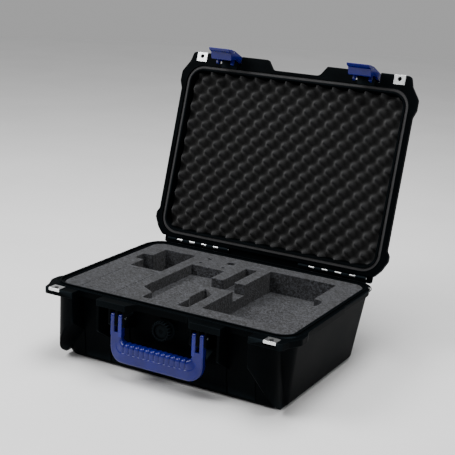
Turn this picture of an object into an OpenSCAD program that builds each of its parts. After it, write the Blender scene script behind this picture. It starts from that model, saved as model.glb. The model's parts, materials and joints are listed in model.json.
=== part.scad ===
// Rugged carrying case: hinged lid, cut foam, carry handle, two draw latches
// and a pressure valve. Origin at the middle of the underside, +X to the
// right, +Y towards the hinges, +Z up. Drawn with the lid open.

/* [Case] */
// Width of the cavity at the rim
cavity_w = 500; // [480:2:520]
// Depth of the cavity at the rim, front to back
cavity_d = 356; // [346:2:366]
// Height of the base shell, floor to rim
base_h = 150; // [146:1:160]
// Height of the lid shell, rim to top
lid_h = 57; // [55:1:65]
// Thickness of the moulded walls
wall = 4; // [3:0.5:5]
// How far each side wall leans in between rim and floor
side_draft = 12; // [8:1:20]
// How far the front and back walls lean in between rim and floor
front_draft = 13; // [8:1:14]
// Angle between the shut and the open lid
lid_open = 105.8; // [90:0.1:110]

/* [Rim] */
// Height of the rim flange of the base
flange_h = 14; // [12:1:16]
// Reach of the lid's rim beyond the cavity, at the sides
flange_side = 22; // [20:1:24]
// Distance from the middle to the front edge of the rim
flange_front = 218; // [216:1:220]
// Distance from the middle to the back edge of the rim
flange_back = 197; // [195:1:198]
// Height of the sealing tongue above the rim
tongue_h = 3; // [2.5:0.5:5]

/* [Foam] */
// Thickness of the cut foam block
cut_foam_h = 95; // [80:1:100]
// Depth of the shallow pockets
shallow_depth = 22; // [15:1:30]
// Depth of the large pocket
large_depth = 45; // [35:1:60]
// Depth of the deep rear pocket
deep_depth = 75; // [60:1:78]

/* [Handle] */
// Outside width of the carry handle
handle_w = 202; // [200:1:203]
// Distance from the handle's pivot to the bottom of its grip
handle_drop = 87; // [80:1:92]

/* [Latches] */
// Width of each latch lever
latch_w = 50; // [46:1:51]
// Distance from the middle of the case to the middle of a latch
latch_x = 161; // [160:1:162]
// Length of the lever below its pivot
latch_len = 65; // [60:1:75]
// How far each latch stands open
latch_flare = 12; // [11:1:20]

/* [Hidden] */
$fn = 64;
eps = 0.5;                      // overlap that cuts right through a face
thin = 0.1;                     // height of a level that shapes a leaning wall
gap = 0.4;                      // clearance between the shut lid and the base

half_w = cavity_w / 2;
half_d = cavity_d / 2;
cavity_r = 27;                  // corner radius of the cavity in plan
floor_t = 4.5;                  // thickness of the base shell's floor
floor_edge = 12;                // height of the bevelled bottom edge
rim_swell = 5;                  // extra thickness of the side walls at the rim
rim_z = base_h;
lip_z = rim_z + gap;            // underside of the shut lid
lid_top = lip_z + lid_h;
lid_foot = [half_w + wall + 8, half_d + wall + 6];      // half sizes above its rim
lid_half = half_w + flange_side;        // half width of the lid's rim
base_half_front = lid_half - 4; // half width of the base's rim, front part
base_half_rear = lid_half - 9;  // and behind its step
rim_step_y = 34;                // where the base's rim steps in
flange_r = 45;                  // corner radius of the rim in plan
lid_flange_h = 12;
lid_flange_back = 196.2;        // keeps the lid clear of the base's knuckles
lid_draft = 13;                 // how far the lid's walls lean in
lid_crown = 8;                  // height and reach of its rounded top edge
lid_taper = 8;                  // how far the lid's cavity narrows
lid_rib_x = [75, 150];
lid_rib_w = 28;
lid_rib_h = 2;
lid_rib_in = 34;                // from the cavity's edge to a rib's end

tongue_in = 6;                  // from the cavity's edge to the tongue
tongue_t = 3.5;
groove_side = 2;                // room beside the tongue in the lid's groove
groove_top = 0.5;               // room between the tongue and the gasket
gasket_h = 3.2;
gasket_gap = 0.3;               // room beside the gasket

hinge_y = 201;
hinge_z = 157;
knuckle_r = 4.4;
hinge_pin_r = 2.4;
press_clear = 0.02;             // radial room of a pin where it is fixed
run_clear = 0.06;               // radial room of a pin where it turns
base_knuckles = [[85, 109], [152.5, 168.5], [215, 238.5]];
lid_knuckles = [[122, 139], [183.5, 200.5]];
hinge_pin_span = [84, 239.5];
knuckle_foot = 18;              // how far the blocks reach below the rim
knuckle_back = 202.6;           // back face of the base's knuckle blocks
skirt_t = 3.4;                  // lip on the lid's back that hangs when open
skirt_back = 210.5;
skirt_half = 250;
skirt_clear = 0.6;              // room between the lip and the base's knuckles

pillar_x = 190;                 // inner face of each front corner pillar
pillar_half = 238;
pillar_front = 216;
pillar_r = 38;
pillar_foot = [60, 3];          // where its sloping foot meets the wall, inside and outside
pillar_step = [88, 30];         // and where the slope starts
ear_x = 255;                    // outer end of the straight front ears
ear_step = [6, 16];             // chamfer at the ear's outer corner
guard_bump = 6;                 // how far the corner guards stand out
guard_y = [-172, -150];         // straight stretch of a front guard
guard_run = 16;                 // length of the slope behind it
rear_guard_y = [148, 160];
rear_guard_in = [11, 25];       // steps of the rear guard's sloping end

bracket_x = [70, 134];
bracket_top_x = 56;             // where the bracket's sloping side starts
centre_front = 197;             // rim's front edge between the brackets
latch_zone_front = 192;         // rim's front edge behind each latch
outer_rib_x = [128, 133.5];
outer_rib_foot = [58, 85];
pillar_back = 148;              // how far back the pillars run into the wall
groove_x = [129, 190];          // vertical grooves of the lower front wall
groove_w = 4;
groove_depth = 2;

handle_y = -210;
handle_z = 122.5;
handle_pin_r = 3;
prong_r = 6;
prong_w = 8.5;
arm_w = 25;
arm_t = 2 * prong_r;
slot_drop = 29.5;               // from the pivot to the bottom of the fork
grip_h = 40;
grip_t = 17;
grip_front = 6;                 // how far the grip stands proud of the arms
handle_r = 30;
rib_gap = 1;
rib_t = 4.5;
rib_foot_z = 104;
rib_front = 216;
centre_rib_t = 6.4;
grip_rib_count = 13;
grip_rib_pitch = 11.5;
grip_groove = 1.4;

latch_pivot_y = -208.5;
latch_pivot_z = 167;
latch_pin_r = 2.5;
latch_wall = 4;
latch_plate = 3.5;
latch_front = 8.5;                // from the pivot to the lever's front face
latch_side_in = 8;              // from the pivot to the sides' inner edge
latch_end_r = 9;
lug_w = 28;
lug_r = 4.6;
lug_relief = 0.2;               // keeps the lug's top below the swung lever
lug_foot = 4;                   // how far the lug widens down to the wall
tab_w = 40;                     // width of the lid's rim between the sides
tab_front = 208.5;
hook_top_z = 135.4;
hook_t = 8;
hook_reach = 186;
hook_prong = 6;
hook_plate = 3;
hook_pin_r = 2;
hook_pin_z = 116;

valve_z = 109;
valve_bore_r = 9;
valve_flange_r = 17;
valve_stem_r = 8.8;
valve_hub_r = 6;
valve_disc_r = 13;
valve_face = 187;               // flat face of the valve's boss
valve_boss_r = 21;
valve_seal_t = 1.2;
valve_knob_r = 19.5;
valve_knob_t = 8;
valve_scallops = 20;
valve_scallop_r = 1.9;
valve_nut_r = 15;
valve_nut_t = 5;
valve_nut_y = -172.6;           // front face of the nut, clear of the leaning wall

plate_x = 232.5;
plate_y = -209.5;
plate_w = 25;
plate_leaf = 20;
plate_t = 1.2;
plate_hole_r = 4.5;
plate_fold = 3.6;               // plastic thickness between the leaves
plate_gap = 0.2;                // room beside the plate

foam_top = rim_z - 1;
foam_gap = 0.8;                 // room round the foam
lid_foam_gap = 1.2;             // room round the wave foam at the lid's lip
cut_foam_z = foam_top - cut_foam_h;
large_x = [50, 197];
large_y = [-138, 143];
deep_x = [-205, -131];
deep_y = [2, 140];
notch_r = 19;                   // finger notches beside both pockets
hub_y = [-20, 30];
rear_slot_x = [0, 25];
front_slot = [[5, -152], [27, -152], [27, -62], [0, -38], [0, -100], [5, -106]];
finger_depth = 12;
finger_spots = [[-95, 140, 4], [-42, 138, 8.5], [-97, 105, 3.5], [-42, 103, 3.5]];
plug_gap = 0.4;
plug_x = [-205, -130];
plug_y = [-165, -10];
plug_depth = 45;

// ---- shared shapes ----

// How far down the leaning walls a height is: 0 at the rim, 1 at the floor
function lean(z) = max(0, min(1,
    (rim_z - flange_h - z) / (rim_z - flange_h - floor_edge)));
// Half width and half depth of the base's outside at a height, without the swell
function wall_x(z) = half_w + wall - side_draft * lean(z);
function wall_y(z) = half_d + wall - front_draft * lean(z);

// Rounded rectangle about the origin
module rounded_rect(half_x, half_y, r) {
    square([2 * (half_x - r), 2 * half_y], center = true);
    square([2 * half_x, 2 * (half_y - r)], center = true);
    for (sx = [-1, 1], sy = [-1, 1])
        translate([sx * (half_x - r), sy * (half_y - r)]) circle(r);
}

// Flat slab with rounded corners, from z up by h
module slab(half_x, half_y, r, z, h) {
    translate([0, 0, z]) linear_extrude(h) rounded_rect(half_x, half_y, r);
}

// Closed ring between two rounded rectangles
module ring(half_x, half_y, r, thick, z, h) {
    difference() {
        slab(half_x + thick, half_y + thick, r + thick, z, h);
        slab(half_x, half_y, r, z - eps, h + 2 * eps);
    }
}

// Solid with tapering sides between two rounded slabs
module tapered(bottom, top, r, z0, z1) {
    hull() {
        slab(bottom[0], bottom[1], r, z0, thin, $fn = 32);
        slab(top[0], top[1], r, z1 - thin, thin, $fn = 32);
    }
}

// One thin level of the walls, moved in by inset and out at the sides by swell
module tub_level(inset, z, swell) {
    slab(wall_x(z) - inset + swell * (1 - lean(z)), wall_y(z) - inset,
        max(12, cavity_r + wall - inset), z, thin, $fn = 32);
}

// The walls moved in by inset, with the bottom edge rounded off
module tub(inset, z0, z1, edge, swell = 0) {
    hull() {
        tub_level(inset + edge, z0, swell);
        tub_level(inset + 0.35 * edge, z0 + 0.3 * edge, swell);
        tub_level(inset, z0 + edge, swell);
        tub_level(inset, min(z1, rim_z - flange_h) - thin, swell);
        tub_level(inset, z1 - thin, swell);
    }
}

// Prism along X from a profile in the YZ plane
module profile_x(x0, x1, points) {
    translate([x0, 0, 0]) rotate([90, 0, 90])
        linear_extrude(x1 - x0) polygon(points);
}

// Cylinder along X
module bar_x(x0, x1, y, z, r) {
    translate([x0, y, z]) rotate([0, 90, 0]) cylinder(h = x1 - x0, r = r);
}

// Cylinder along Y
module bar_y(y0, y1, x, z, r) {
    translate([x, y0, z]) rotate([-90, 0, 0]) cylinder(h = y1 - y0, r = r);
}

// Same shape on the right and mirrored on the left
module both_sides() {
    children();
    mirror([1, 0, 0]) children();
}

// One shape on the left (side -1) or on the right (side 1)
module on_side(side) {
    if (side < 0) mirror([1, 0, 0]) children();
    else children();
}

// Carries a shape drawn on the shut lid to the open lid
module opened() {
    translate([0, hinge_y, hinge_z]) rotate([-lid_open, 0, 0])
        translate([0, -hinge_y, -hinge_z]) children();
}

// Carries a shape drawn on the fastened latch to the loose latch
module flared() {
    translate([0, latch_pivot_y, latch_pivot_z]) rotate([-latch_flare, 0, 0])
        translate([0, -latch_pivot_y, -latch_pivot_z]) children();
}

// Plan of a rim: sides that step in behind, front guards, ears and brackets
module rim_plan(back, front_half, rear_half) {
    depth = (flange_front - 20 + back) / 2;
    guard_x = front_half + guard_bump;
    intersection() {
        translate([0, back - depth]) rounded_rect(front_half, depth, flange_r);
        union() {
            translate([-front_half, -flange_front])
                square([2 * front_half, flange_front + rim_step_y]);
            translate([-rear_half, 0]) square([2 * rear_half, back]);
        }
    }
    both_sides() {
        polygon([[pillar_x, -flange_front], [ear_x, -flange_front],
            [ear_x + ear_step[0], -flange_front + ear_step[1]], [guard_x, guard_y[0]],
            [guard_x, guard_y[1]], [front_half, guard_y[1] + guard_run],
            [half_w - cavity_r, guard_y[1] + guard_run], [pillar_x, -half_d + 8]]);
        polygon([[0, -centre_front], [bracket_top_x, -centre_front],
            [bracket_x[0], -flange_front], [bracket_x[1], -flange_front],
            [bracket_x[1], -latch_zone_front], [pillar_x + 1, -latch_zone_front],
            [pillar_x + 1, guard_y[1]], [0, guard_y[1]]]);
    }
}

// Guards at the rear corners of the lid's rim
module rear_guards() {
    guard_x = lid_half + guard_bump;
    inner = half_w - cavity_r;
    both_sides() polygon([[inner, rear_guard_y[0] - guard_run],
        [lid_half, rear_guard_y[0] - guard_run / 2], [guard_x, rear_guard_y[0]],
        [guard_x, rear_guard_y[1]], [guard_x - rear_guard_in[0], half_d + 3],
        [guard_x - rear_guard_in[1], lid_flange_back], [inner, lid_flange_back]]);
}

// Square-cornered room for a padlock plate's leaf and fold
module plate_room(z, h) {
    both_sides()
        translate([plate_x - plate_w / 2, -flange_front - eps, z])
            cube([plate_w, plate_leaf + eps, h]);
}

// ---- base ----

module base_cavity() {
    tub(wall, floor_t, rim_z, floor_edge - 2);
    slab(half_w, half_d, cavity_r, rim_z - 1, tongue_h + 1 + eps);
}

// Thin upright slice of a pillar that starts at x and slopes from foot to step
module pillar_slice(x, foot, step) {
    profile_x(x, x + thin, [[-pillar_back, foot], [-wall_y(foot), foot],
        [-pillar_front, step], [-pillar_front, rim_z - flange_h + 1],
        [-pillar_back, rim_z - flange_h + 1]]);
}

// Corner pillars that guard the latches, with a foot that drops to the outside
module corner_pillars() {
    intersection() {
        both_sides() hull() {
            pillar_slice(pillar_x, pillar_foot[0], pillar_step[0]);
            pillar_slice(pillar_half + 1, pillar_foot[1], pillar_step[1]);
        }
        slab(pillar_half, pillar_front, pillar_r, 0, rim_z);
    }
}

// Upright groove in the front wall, below the pillars and ribs
module front_groove(x) {
    profile_x(x - groove_w / 2, x + groove_w / 2,
        [[-flange_front, -eps], [groove_depth - wall_y(0), -eps],
         [groove_depth - wall_y(pillar_foot[0]), pillar_foot[0]],
         [-flange_front, pillar_foot[0]]]);
}

// Rib that stands out from the front wall, with a sloping foot
module front_rib(x0, x1, foot, front) {
    profile_x(x0, x1, [[-half_d + 6, foot[0]], [-wall_y(foot[0]), foot[0]],
        [-front, foot[1]], [-front, rim_z - flange_h + 1],
        [-half_d + 6, rim_z - flange_h + 1]]);
}

module front_ribs() {
    arm_out = handle_w / 2;
    arm_mid = arm_out - arm_w / 2;
    foot = [rib_foot_z - 10, rib_foot_z];
    both_sides() {
        front_rib(outer_rib_x[0], outer_rib_x[1], outer_rib_foot, rib_front);
        front_rib(arm_out + rib_gap, arm_out + rib_gap + rib_t, foot, rib_front);
        front_rib(arm_out - arm_w - rib_gap - rib_t, arm_out - arm_w - rib_gap,
            foot, rib_front);
        front_rib(arm_mid - centre_rib_t / 2, arm_mid + centre_rib_t / 2,
            foot, rib_front);
    }
}

module base_knuckle_blocks() {
    both_sides() for (k = base_knuckles) {
        bar_x(k[0], k[1], hinge_y, hinge_z, knuckle_r);
        profile_x(k[0], k[1], [[half_d + wall, rim_z - flange_h - knuckle_foot],
            [knuckle_back, rim_z - flange_h + 4],
            [knuckle_back, hinge_z - 3], [hinge_y, hinge_z],
            [hinge_y - knuckle_r, hinge_z],
            [hinge_y - knuckle_r, rim_z - 1], [half_d + wall, rim_z - 1]]);
    }
}

module base_shell() color("#1d2126") {
    pin_end = handle_w / 2 + rib_gap + rib_t + 1.5;
    pin_start = handle_w / 2 - arm_w - rib_gap - rib_t - 1.5;
    difference() {
        union() {
            tub(0, 0, rim_z - 1, floor_edge, rim_swell);
            translate([0, 0, rim_z - flange_h]) linear_extrude(flange_h)
                rim_plan(flange_back, base_half_front, base_half_rear);
            corner_pillars();
            front_ribs();
            ring(half_w + tongue_in, half_d + tongue_in, cavity_r + tongue_in,
                tongue_t, rim_z - 1, tongue_h + 1);
            base_knuckle_blocks();
            bar_y(-valve_face, -half_d, 0, valve_z, valve_boss_r);
        }
        base_cavity();
        both_sides() {
            for (x = groove_x) front_groove(x);
            bar_x(hinge_pin_span[0] - 1, hinge_pin_span[1], hinge_y, hinge_z,
                hinge_pin_r + press_clear);
            bar_x(pin_start, pin_end, handle_y, handle_z,
                handle_pin_r + press_clear);
            translate([plate_x, plate_y, rim_z - flange_h - eps])
                cylinder(h = flange_h + 2 * eps, r = plate_hole_r);
        }
        bar_y(-flange_front, -half_d + 10, 0, valve_z, valve_bore_r);
        plate_room(rim_z - plate_t, plate_t + eps);
        plate_room(rim_z - flange_h - eps,
            flange_h + eps - plate_t - plate_fold);
        both_sides() translate([plate_x - plate_w / 2,
            -flange_front - eps, rim_z - flange_h - eps])
            cube([plate_w, plate_t + eps, flange_h + 2 * eps]);
    }
}

// ---- lid, drawn shut and then opened ----

module lid_outside() {
    hull() {
        slab(lid_foot[0], lid_foot[1], cavity_r + wall,
            lip_z + lid_flange_h - 1, thin, $fn = 32);
        slab(lid_foot[0] - lid_draft, lid_foot[1] - lid_draft,
            cavity_r + wall, lid_top - lid_crown, thin, $fn = 32);
        slab(lid_foot[0] - lid_draft - lid_crown, lid_foot[1] - lid_draft - lid_crown,
            cavity_r, lid_top - thin, thin, $fn = 32);
    }
}

module lid_cavity() {
    tapered([half_w, half_d], [half_w - lid_taper, half_d - lid_taper], cavity_r,
        lip_z - eps, lid_top - wall);
}

module lid_groove() {
    ring(half_w + tongue_in - groove_side, half_d + tongue_in - groove_side,
        cavity_r + tongue_in - groove_side, tongue_t + 2 * groove_side,
        lip_z - eps, tongue_h - gap + groove_top + gasket_h + eps);
}

// Rim of the lid, with a narrow tab between each lever's sides
module lid_rim() {
    translate([0, 0, lip_z]) linear_extrude(lid_flange_h) {
        rim_plan(lid_flange_back, lid_half, lid_half);
        rear_guards();
    }
    both_sides() translate([latch_x - tab_w / 2, -tab_front, lip_z])
        cube([tab_w, tab_front - half_d - wall - 6, lid_flange_h - 5]);
}

module latch_lugs() {
    lug_top = latch_pivot_z + lug_r - lug_relief;
    both_sides() {
        bar_x(latch_x - lug_w / 2, latch_x + lug_w / 2, latch_pivot_y,
            latch_pivot_z, lug_r);
        profile_x(latch_x - lug_w / 2, latch_x + lug_w / 2,
            [[latch_pivot_y, latch_pivot_z - lug_r], [latch_pivot_y, lug_top],
             [-half_d, lug_top], [-half_d, latch_pivot_z - lug_r - lug_foot]]);
    }
}

module lid_knuckle_blocks() {
    both_sides() for (k = lid_knuckles) {
        bar_x(k[0], k[1], hinge_y, hinge_z, knuckle_r);
        profile_x(k[0], k[1], [[half_d + wall + 2, lip_z + 2],
            [hinge_y - knuckle_r, lip_z + 2], [hinge_y, hinge_z - knuckle_r + 2],
            [hinge_y, hinge_z + knuckle_r], [half_d + wall, lip_z + lid_flange_h + 8]]);
    }
}

// Lip at the lid's back that closes the gap below the open lid
module lid_skirt() {
    y0 = half_d + wall;
    translate([-skirt_half, y0, hinge_z + knuckle_r + skirt_clear])
        cube([2 * skirt_half, skirt_back - y0, skirt_t]);
}

// Low stiffening ribs across the top of the lid
module lid_ribs() {
    both_sides() for (x = lid_rib_x)
        translate([x - lid_rib_w / 2, -half_d + lid_rib_in, lid_top - 1])
            cube([lid_rib_w, 2 * (half_d - lid_rib_in), lid_rib_h + 1]);
}

module lid_shell() color("#24292e") opened() {
    difference() {
        union() {
            lid_outside();
            lid_rim();
            latch_lugs();
            lid_knuckle_blocks();
            lid_skirt();
            lid_ribs();
        }
        lid_cavity();
        lid_groove();
        both_sides() {
            bar_x(hinge_pin_span[0], hinge_pin_span[1], hinge_y, hinge_z,
                hinge_pin_r + run_clear);
            bar_x(latch_x - lug_w / 2 - 1, latch_x + lug_w / 2 + 1, latch_pivot_y,
                latch_pivot_z, latch_pin_r + run_clear);
            translate([plate_x, plate_y, lip_z - eps])
                cylinder(h = lid_flange_h + 2 * eps, r = plate_hole_r);
        }
        plate_room(lip_z - eps, plate_t + eps);
        plate_room(lip_z + plate_t + plate_fold,
            lid_flange_h + eps - plate_t - plate_fold);
        both_sides() translate([plate_x - plate_w / 2,
            -flange_front - eps, lip_z - eps])
            cube([plate_w, plate_t + eps, lid_flange_h + 2 * eps]);
    }
}

module lid_gasket() color("#101214") opened() {
    inner = tongue_in - groove_side + gasket_gap;
    ring(half_w + inner, half_d + inner, cavity_r + inner,
        tongue_t + 2 * (groove_side - gasket_gap),
        rim_z + tongue_h + groove_top, gasket_h - gasket_gap / 3);
}

// Block as large as the wave foam, with its wall a little inside the cavity
module lid_foam() color("#2b2d33") opened()
    tapered([half_w - lid_foam_gap, half_d - lid_foam_gap],
        [half_w - lid_taper - foam_gap, half_d - lid_taper - foam_gap], cavity_r - 1,
        lip_z + lid_foam_gap / 2, lid_top - wall - gap);

module hinge_pin(side) color("silver") on_side(side)
    bar_x(hinge_pin_span[0], hinge_pin_span[1] - 0.5, hinge_y, hinge_z, hinge_pin_r);

// ---- foam ----

// Rectangular pocket with a round finger notch in its outer side
module notched_pocket(x, y, depth, notch_x, notch_y) {
    translate([x[0], y[0], foam_top - depth])
        cube([x[1] - x[0], y[1] - y[0], depth + eps]);
    translate([notch_x, notch_y, foam_top - depth])
        cylinder(h = depth + eps, r = notch_r);
}

// Shallow pockets: a hub, a stepped bay on its left and a slot behind it
module shallow_pockets() {
    translate([0, 0, foam_top - shallow_depth]) linear_extrude(shallow_depth + eps) {
        polygon([[-105, 83], [-28, 83], [-28, hub_y[1]], [rear_slot_x[0], hub_y[1]],
            [rear_slot_x[0], 128], [rear_slot_x[1], 128], [rear_slot_x[1], hub_y[1]],
            [large_x[0] + 1, hub_y[1]], [large_x[0] + 1, hub_y[0]], [-55, hub_y[0]],
            [-55, -153], [-73, -153], [-73, -118], [-105, -98]]);
        polygon(front_slot);
    }
}

module finger_holes() {
    for (h = finger_spots)
        translate([h[0], h[1], foam_top - finger_depth])
            cylinder(h = finger_depth + eps, r = h[2]);
}

module base_foam() color("#55565c") {
    difference() {
        tub(wall + foam_gap, cut_foam_z, foam_top, 0);
        notched_pocket(large_x, large_y, large_depth, 199, 19);
        notched_pocket(deep_x, deep_y, deep_depth, -209, 69);
        shallow_pockets();
        finger_holes();
        translate([plug_x[0], plug_y[0], foam_top - plug_depth])
            cube([plug_x[1] - plug_x[0], plug_y[1] - plug_y[0], plug_depth + eps]);
        bar_y(-half_d - eps, valve_nut_y + valve_nut_t + 2, 0, valve_z, valve_nut_r + 2);
    }
}

module base_foam_bottom() color("#4c4d53")
    tub(wall + foam_gap, floor_t + foam_gap, cut_foam_z - foam_gap, floor_edge - 2);

module foam_plug() color("#595a60")
    translate([plug_x[0] + plug_gap, plug_y[0] + plug_gap, foam_top - plug_depth + plug_gap])
        cube([plug_x[1] - plug_x[0] - 2 * plug_gap,
            plug_y[1] - plug_y[0] - 2 * plug_gap, plug_depth - plug_gap]);

// ---- handle ----

module handle() color("#2338c8") {
    out = handle_w / 2;
    bottom = handle_z - handle_drop;
    grip_top = bottom + grip_h;
    front = handle_y - prong_r - grip_front;
    difference() {
        union() {
            both_sides() {
                bar_x(out - arm_w, out, handle_y, handle_z, prong_r);
                translate([out - arm_w, handle_y - prong_r, bottom + handle_r])
                    cube([arm_w, arm_t, handle_drop - handle_r]);
            }
            intersection() {
                translate([-out, front, bottom]) cube([2 * out, grip_t, grip_h + 1]);
                union() {
                    translate([-out, front, bottom + handle_r])
                        cube([2 * out, grip_t, grip_h]);
                    translate([-out + handle_r, front, bottom])
                        cube([2 * (out - handle_r), grip_t, handle_r + 1]);
                    both_sides()
                        bar_y(front, front + grip_t, out - handle_r,
                            bottom + handle_r, handle_r);
                }
            }
        }
        both_sides() {
            bar_x(out - arm_w - 1, out + 1, handle_y, handle_z,
                handle_pin_r + run_clear);
            translate([out - arm_w + prong_w, handle_y - prong_r - 1, handle_z - slot_drop])
                cube([arm_w - 2 * prong_w, arm_t + 2, slot_drop + prong_r + 1]);
        }
        for (i = [1 : grip_rib_count - 1])
            translate([(i - grip_rib_count / 2) * grip_rib_pitch - 0.8, front - eps,
                grip_top - 16])
                cube([1.6, grip_groove + eps, 18]);
    }
}

module handle_pin(side) color("silver") on_side(side) {
    reach = rib_gap + rib_t;
    bar_x(handle_w / 2 - arm_w - reach, handle_w / 2 + reach, handle_y, handle_z,
        handle_pin_r);
}

// ---- latches, drawn fastened and then flared on the opened lid ----

module latch_lever(side) color("#2742d8") opened() flared() on_side(side) {
    x0 = latch_x - latch_w / 2;
    foot = latch_pivot_z - latch_len;
    front = latch_pivot_y - latch_front;
    back = latch_pivot_y + latch_side_in;
    difference() {
        union() {
            bar_x(x0, x0 + latch_w, latch_pivot_y, latch_pivot_z, latch_end_r);
            translate([x0, front, foot])
                cube([latch_w, latch_front + latch_side_in, latch_len]);
            profile_x(x0, x0 + latch_w, [[front, foot], [front, foot + 14],
                [front + 2, foot + 14], [front + 2, foot - 4], [front - 5, foot - 4]]);
        }
        translate([x0 + latch_wall, front + latch_plate, foot + 4])
            cube([latch_w - 2 * latch_wall, latch_front + latch_side_in,
                latch_len - 4]);
        translate([x0 + latch_wall, front + latch_plate, latch_pivot_z - 1])
            cube([latch_w - 2 * latch_wall, 2 * latch_front, latch_end_r + 2]);
        bar_x(x0 - 1, x0 + latch_w + 1, latch_pivot_y, latch_pivot_z,
            latch_pin_r + press_clear);
        bar_x(x0 - 1, x0 + latch_w + 1, latch_pivot_y, hook_pin_z,
            hook_pin_r + press_clear);
    }
}

// Plate inside the lever that carries two hooks
module latch_hook(side) color("#5a74f0") opened() flared() on_side(side) {
    half = latch_w / 2 - latch_wall - 0.3;
    plate_back = latch_pivot_y - latch_front + latch_plate + 0.3;
    difference() {
        union() {
            translate([latch_x - half, plate_back, hook_pin_z - 6])
                cube([2 * half, hook_plate, hook_top_z - hook_pin_z + 6]);
            for (s = [-1, 1])
                translate([latch_x + s * (half - hook_prong / 2) - hook_prong / 2,
                    plate_back, hook_top_z - hook_t])
                    cube([hook_prong, -hook_reach - plate_back, hook_t]);
            bar_x(latch_x - half, latch_x + half, latch_pivot_y, hook_pin_z, 5);
            translate([latch_x - half, plate_back, hook_pin_z - 4])
                cube([2 * half, latch_pivot_y - plate_back, 8]);
        }
        bar_x(latch_x - half - 1, latch_x + half + 1, latch_pivot_y, hook_pin_z,
            hook_pin_r + press_clear);
    }
}

module latch_pin(side) color("silver") opened() on_side(side)
    bar_x(latch_x - latch_w / 2 + 0.5, latch_x + latch_w / 2 - 0.5, latch_pivot_y,
        latch_pivot_z, latch_pin_r);

module latch_hook_pin(side) color("silver") opened() flared() on_side(side)
    bar_x(latch_x - latch_w / 2 + 0.5, latch_x + latch_w / 2 - 0.5, latch_pivot_y,
        hook_pin_z, hook_pin_r);

// ---- pressure valve ----

module valve_body() color("#23272b") {
    back = -valve_face - valve_seal_t;
    bar_y(back - 3, back, 0, valve_z, valve_flange_r);
    bar_y(back - 1, valve_nut_y + valve_nut_t, 0, valve_z, valve_stem_r);
    bar_y(back - 9, back - 1, 0, valve_z, valve_hub_r);
}

module valve_knob() color("#2c3136") {
    front = -valve_face - valve_seal_t - 3.4 - valve_knob_t;
    difference() {
        union() {
            bar_y(front, front + valve_knob_t, 0, valve_z, valve_knob_r);
            bar_y(front - 2, front + 1, 0, valve_z, valve_disc_r);
        }
        bar_y(front - 2.5, front - 1, 0, valve_z, valve_disc_r - 2.5);
        bar_y(front + 2, front + valve_knob_t + 1, 0, valve_z, valve_hub_r + run_clear);
        for (i = [0 : valve_scallops - 1])
            translate([0, 0, valve_z]) rotate([0, i * 360 / valve_scallops, 0])
                bar_y(front - 1, front + valve_knob_t + 1, valve_knob_r + 0.6, 0,
                    valve_scallop_r);
    }
}

module valve_seal() color("#0e0f10") difference() {
    bar_y(-valve_face - valve_seal_t + 0.05, -valve_face - 0.05, 0, valve_z,
        valve_flange_r - 1);
    bar_y(-valve_face - 2 * valve_seal_t, -valve_face + 1, 0, valve_z,
        valve_stem_r + 1.5);
}

module valve_nut() color("#2a2e32") difference() {
    bar_y(valve_nut_y, valve_nut_y + valve_nut_t, 0, valve_z, valve_nut_r);
    bar_y(valve_nut_y - eps, valve_nut_y + valve_nut_t + eps, 0, valve_z,
        valve_stem_r + press_clear);
}

// ---- padlock plates ----

// Folded steel clip over the rim's edge, with its lower leaf at height z0
module padlock_plate(z0) {
    difference() {
        translate([plate_x - plate_w / 2 + plate_gap, -flange_front, z0])
            cube([plate_w - 2 * plate_gap, plate_leaf, 2 * plate_t + plate_fold]);
        translate([plate_x - plate_w / 2, -flange_front + plate_t, z0 + plate_t])
            cube([plate_w, plate_leaf, plate_fold]);
        translate([plate_x, plate_y, z0 - eps])
            cylinder(h = 2 * plate_t + plate_fold + 2 * eps, r = plate_hole_r);
    }
}

module padlock_plate_base(side) color("gainsboro") on_side(side)
    padlock_plate(rim_z - 2 * plate_t - plate_fold);

module padlock_plate_lid(side) color("gainsboro") opened() on_side(side)
    padlock_plate(lip_z);

base_shell();
lid_shell();
hinge_pin(-1);  // hinge_pin_left
hinge_pin(1);  // hinge_pin_right
lid_gasket();
lid_foam();
base_foam();
base_foam_bottom();
foam_plug();
handle();
handle_pin(-1);  // handle_pin_left
handle_pin(1);  // handle_pin_right
latch_lever(-1);  // latch_lever_left
latch_lever(1);  // latch_lever_right
latch_hook(-1);  // latch_hook_left
latch_hook(1);  // latch_hook_right
latch_pin(-1);  // latch_pin_left
latch_pin(1);  // latch_pin_right
latch_hook_pin(-1);  // latch_hook_pin_left
latch_hook_pin(1);  // latch_hook_pin_right
valve_body();
valve_knob();
valve_seal();
valve_nut();
padlock_plate_base(-1);  // padlock_plate_base_left
padlock_plate_base(1);  // padlock_plate_base_right
padlock_plate_lid(-1);  // padlock_plate_lid_left
padlock_plate_lid(1);  // padlock_plate_lid_right
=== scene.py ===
"""Looks of a rugged carrying case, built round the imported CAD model.

Pieces are made in millimetres and turned into metres when they are finished.
Parts of the lid are drawn shut and then turned to the open rest pose.
"""

import json
import math
import bmesh
import bpy
from mathutils import Matrix, Vector


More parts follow.
